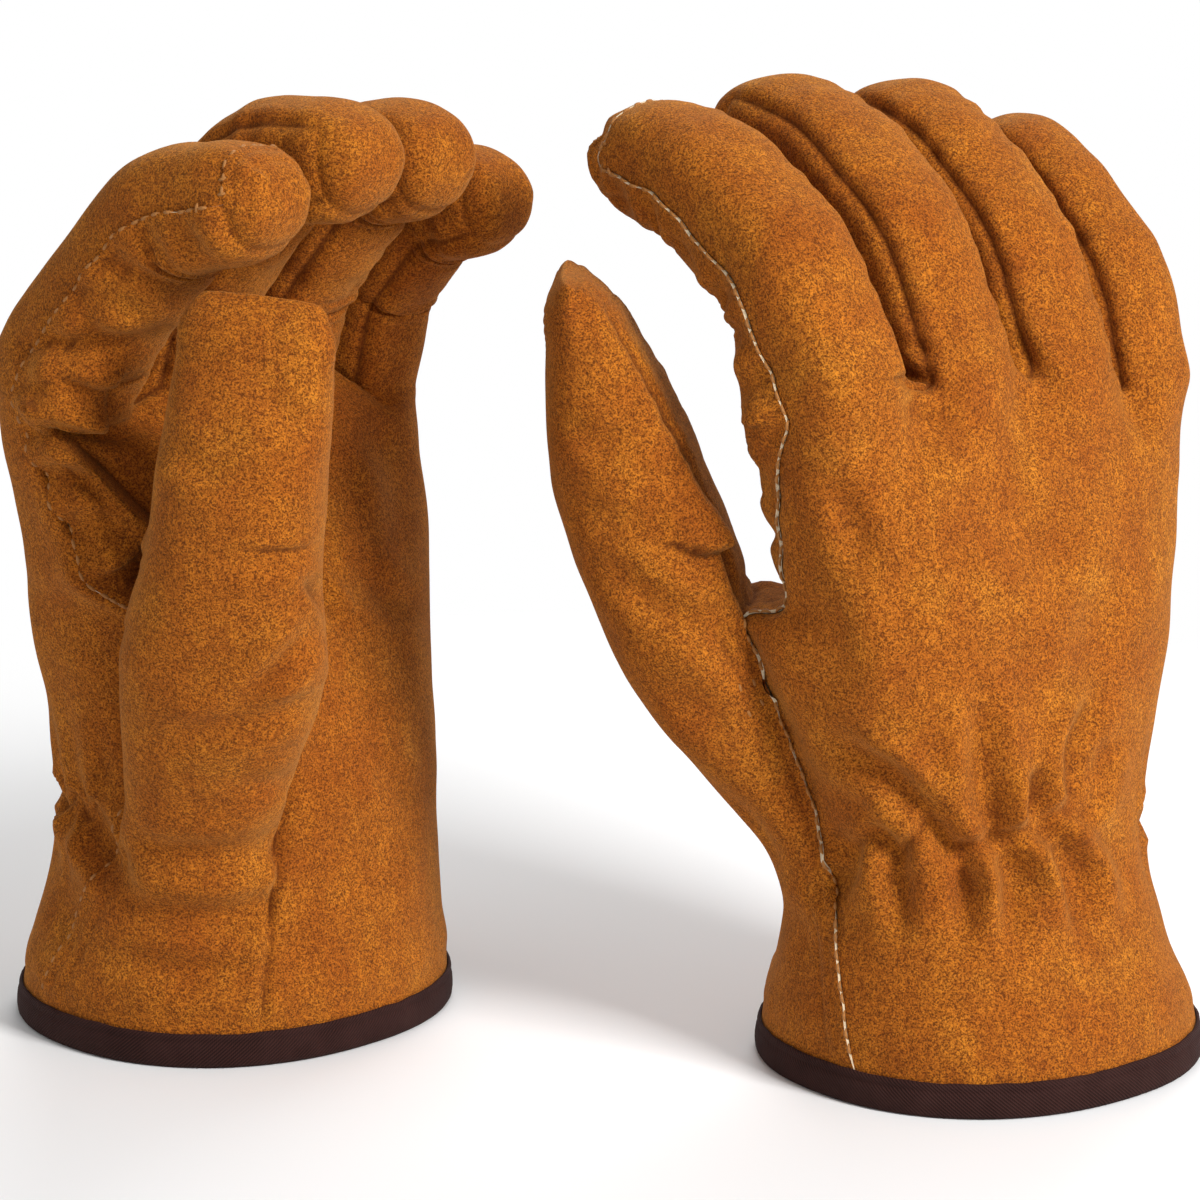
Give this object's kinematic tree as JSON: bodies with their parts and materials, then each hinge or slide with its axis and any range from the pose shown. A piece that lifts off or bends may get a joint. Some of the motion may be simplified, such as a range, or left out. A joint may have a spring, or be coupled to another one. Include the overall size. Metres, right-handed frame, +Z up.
{
  "type": "pair of work gloves",
  "caption": "Pair of lined split-leather work gloves standing on their bound cuffs, each with wing thumb, gathered elastic wrist, fork strips and fingers that bend at two folds.",
  "frame": {"origin": "on the floor, under the middle of the pair's bounding box", "axes": "+X from the left-hand glove towards the right-hand glove, +Y away from the front view, +Z up"},
  "size_m": [0.2752, 0.1356, 0.2196],
  "materials": {
    "suede": "napped split leather, matt",
    "binding": "dark brown woven twill tape",
    "lining": "soft cream fleece",
    "elastic": "woven elastic braid",
    "thread": "spun sewing thread"
  },
  "bodies": {
    "right_hand": {"right_back_panel": "suede", "right_palm_panel": "suede", "right_wing_panel": "suede", "right_fourchettes": "suede", "right_cuff_binding": "binding", "right_wrist_elastic": "elastic", "right_hand_lining": "lining", "right_finger_linings": "lining", "right_seam_thread": "thread", "right_index_knuckle": "suede", "right_middle_knuckle": "suede", "right_ring_knuckle": "suede", "right_little_knuckle": "suede", "right_thumb_knuckle": "suede"},
    "right_index_lower": {"right_index_base": "suede", "right_index_bend": "suede"},
    "right_index_end": {"right_index_tip": "suede"},
    "right_middle_lower": {"right_middle_base": "suede", "right_middle_bend": "suede"},
    "right_middle_end": {"right_middle_tip": "suede"},
    "right_ring_lower": {"right_ring_base": "suede", "right_ring_bend": "suede"},
    "right_ring_end": {"right_ring_tip": "suede"},
    "right_little_lower": {"right_little_base": "suede", "right_little_bend": "suede"},
    "right_little_end": {"right_little_tip": "suede"},
    "right_thumb_lower": {"right_thumb_base": "suede", "right_thumb_bend": "suede"},
    "right_thumb_end": {"right_thumb_tip": "suede"},
    "left_hand": {"left_back_panel": "suede", "left_palm_panel": "suede", "left_wing_panel": "suede", "left_fourchettes": "suede", "left_cuff_binding": "binding", "left_wrist_elastic": "elastic", "left_hand_lining": "lining", "left_finger_linings": "lining", "left_seam_thread": "thread", "left_index_knuckle": "suede", "left_middle_knuckle": "suede", "left_ring_knuckle": "suede", "left_little_knuckle": "suede", "left_thumb_knuckle": "suede"},
    "left_index_lower": {"left_index_base": "suede", "left_index_bend": "suede"},
    "left_index_end": {"left_index_tip": "suede"},
    "left_middle_lower": {"left_middle_base": "suede", "left_middle_bend": "suede"},
    "left_middle_end": {"left_middle_tip": "suede"},
    "left_ring_lower": {"left_ring_base": "suede", "left_ring_bend": "suede"},
    "left_ring_end": {"left_ring_tip": "suede"},
    "left_little_lower": {"left_little_base": "suede", "left_little_bend": "suede"},
    "left_little_end": {"left_little_tip": "suede"},
    "left_thumb_lower": {"left_thumb_base": "suede", "left_thumb_bend": "suede"},
    "left_thumb_end": {"left_thumb_tip": "suede"}
  },
  "joints": [
    {"name": "left_glove_lift", "type": "slide", "parent": "right_hand", "child": "left_hand", "axis": [0, 0, 1], "range_m": [0, 0.3]},
    {"name": "right_index_knuckle", "type": "hinge", "parent": "right_hand", "child": "right_index_lower", "pos_m": [0.04919, -0.04551, 0.16034], "axis": [-0.7696, -0.6232, -0.1392], "range_deg": [-22, 8], "deforming": ["right_index_knuckle", "right_finger_linings"]},
    {"name": "right_index_bend", "type": "hinge", "parent": "right_index_lower", "child": "right_index_end", "pos_m": [0.0386, -0.03754, 0.18321], "axis": [-0.7696, -0.6232, -0.1392], "range_deg": [-30, 8], "deforming": ["right_index_bend"]},
    {"name": "right_middle_knuckle", "type": "hinge", "parent": "right_hand", "child": "right_middle_lower", "pos_m": [0.073, -0.02635, 0.16143], "axis": [-0.7767, -0.6289, -0.0349], "range_deg": [-20, 20], "deforming": ["right_middle_knuckle"]},
    {"name": "right_middle_bend", "type": "hinge", "parent": "right_middle_lower", "child": "right_middle_end", "pos_m": [0.06433, -0.017, 0.18588], "axis": [-0.7767, -0.6289, -0.0349], "range_deg": [-30, 20], "deforming": ["right_middle_bend"]},
    {"name": "right_ring_knuckle", "type": "hinge", "parent": "right_hand", "child": "right_ring_lower", "pos_m": [0.09622, -0.00792, 0.15956], "axis": [-0.7769, -0.6291, -0.0262], "range_deg": [-20, 20], "deforming": ["right_ring_knuckle"]},
    {"name": "right_ring_bend", "type": "hinge", "parent": "right_ring_lower", "child": "right_ring_end", "pos_m": [0.08944, -0.00049, 0.18207], "axis": [-0.7769, -0.6291, -0.0262], "range_deg": [-30, 20], "deforming": ["right_ring_bend"]},
    {"name": "right_little_knuckle", "type": "hinge", "parent": "right_hand", "child": "right_little_lower", "pos_m": [0.11827, 0.00917, 0.15477], "axis": [-0.7769, -0.6291, -0.0262], "range_deg": [-15, 20], "deforming": ["right_little_knuckle"]},
    {"name": "right_little_bend", "type": "hinge", "parent": "right_little_lower", "child": "right_little_end", "pos_m": [0.11331, 0.01449, 0.17432], "axis": [-0.7769, -0.6291, -0.0262], "range_deg": [-30, 20], "deforming": ["right_little_bend"]},
    {"name": "right_thumb_knuckle", "type": "hinge", "parent": "right_hand", "child": "right_thumb_lower", "pos_m": [0.01559, -0.02323, 0.10764], "axis": [0.0174, 0.9986, 0.0494], "range_deg": [-12, 4], "deforming": ["right_thumb_knuckle"]},
    {"name": "right_thumb_bend", "type": "hinge", "parent": "right_thumb_lower", "child": "right_thumb_end", "pos_m": [0.00419, -0.02464, 0.14017], "axis": [0.0174, 0.9986, 0.0494], "range_deg": [-12, 5], "deforming": ["right_thumb_bend"]},
    {"name": "left_index_knuckle", "type": "hinge", "parent": "left_hand", "child": "left_index_lower", "pos_m": [-0.11838, -0.01141, 0.15732], "axis": [0.6157, 0.788, 0], "range_deg": [-25, 3], "deforming": ["left_index_knuckle", "left_finger_linings"]},
    {"name": "left_index_bend", "type": "hinge", "parent": "left_index_lower", "child": "left_index_end", "pos_m": [-0.10533, -0.02161, 0.17794], "axis": [0.6157, 0.788, 0], "range_deg": [-30, 3], "deforming": ["left_index_bend"]},
    {"name": "left_middle_knuckle", "type": "hinge", "parent": "left_hand", "child": "left_middle_lower", "pos_m": [-0.09797, 0.01043, 0.15974], "axis": [0.6157, 0.788, 0], "range_deg": [-18, 8], "deforming": ["left_middle_knuckle"]},
    {"name": "left_middle_bend", "type": "hinge", "parent": "left_middle_lower", "child": "left_middle_end", "pos_m": [-0.08682, 0.00171, 0.18313], "axis": [0.6157, 0.788, 0], "range_deg": [-30, 8], "deforming": ["left_middle_bend"]},
    {"name": "left_ring_knuckle", "type": "hinge", "parent": "left_hand", "child": "left_ring_lower", "pos_m": [-0.07704, 0.03136, 0.15774], "axis": [0.6157, 0.788, 0], "range_deg": [-18, 15], "deforming": ["left_ring_knuckle"]},
    {"name": "left_ring_bend", "type": "hinge", "parent": "left_ring_lower", "child": "left_ring_end", "pos_m": [-0.06807, 0.02435, 0.1793], "axis": [0.6157, 0.788, 0], "range_deg": [-30, 15], "deforming": ["left_ring_bend"]},
    {"name": "left_little_knuckle", "type": "hinge", "parent": "left_hand", "child": "left_little_lower", "pos_m": [-0.05747, 0.05121, 0.1518], "axis": [0.6157, 0.788, 0], "range_deg": [-15, 20], "deforming": ["left_little_knuckle"]},
    {"name": "left_little_bend", "type": "hinge", "parent": "left_little_lower", "child": "left_little_end", "pos_m": [-0.05142, 0.04648, 0.17109], "axis": [0.6157, 0.788, 0], "range_deg": [-30, 20], "deforming": ["left_little_bend"]},
    {"name": "left_thumb_knuckle", "type": "hinge", "parent": "left_hand", "child": "left_thumb_lower", "pos_m": [-0.08178, -0.04043, 0.10289], "axis": [-0.9882, 0.0865, 0.1267], "range_deg": [-15, 2], "deforming": ["left_thumb_knuckle"]},
    {"name": "left_thumb_bend", "type": "hinge", "parent": "left_thumb_lower", "child": "left_thumb_end", "pos_m": [-0.07787, -0.04544, 0.13678], "axis": [-0.9882, 0.0865, 0.1267], "range_deg": [-15, 2], "deforming": ["left_thumb_bend"]}
  ]
}
